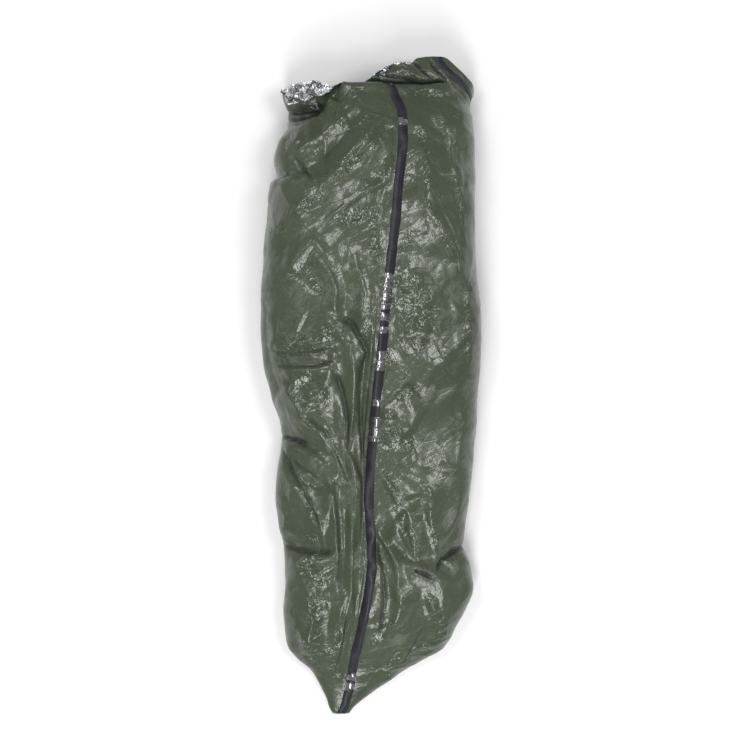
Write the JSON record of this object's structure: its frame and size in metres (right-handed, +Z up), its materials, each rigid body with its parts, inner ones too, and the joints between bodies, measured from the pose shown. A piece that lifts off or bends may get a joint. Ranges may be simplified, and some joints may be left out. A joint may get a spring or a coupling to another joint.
{
  "type": "emergency sleeping bag",
  "caption": "Tube-shaped emergency sleeping bag of olive film with a metallised inside, open at the mouth, narrowing to a corner at the foot, with black taped seams.",
  "frame": {"origin": "middle of the bag's box, on the surface it lies on", "axes": "+Y towards the mouth, +X to the right edge as seen from above with the mouth up, +Z up through the upper seam"},
  "size_m": [0.591, 1.7628, 0.243],
  "materials": {
    "olive_film": "glossy olive polythene film, finely crumpled, with a bright metallised inner face",
    "black_tape": "glossy black seam tape"
  },
  "bodies": {
    "root": {"panel_left": "olive_film", "panel_right": "olive_film", "seam_tape_top": "black_tape", "seam_tape_side": "black_tape"}
  },
  "joints": []
}
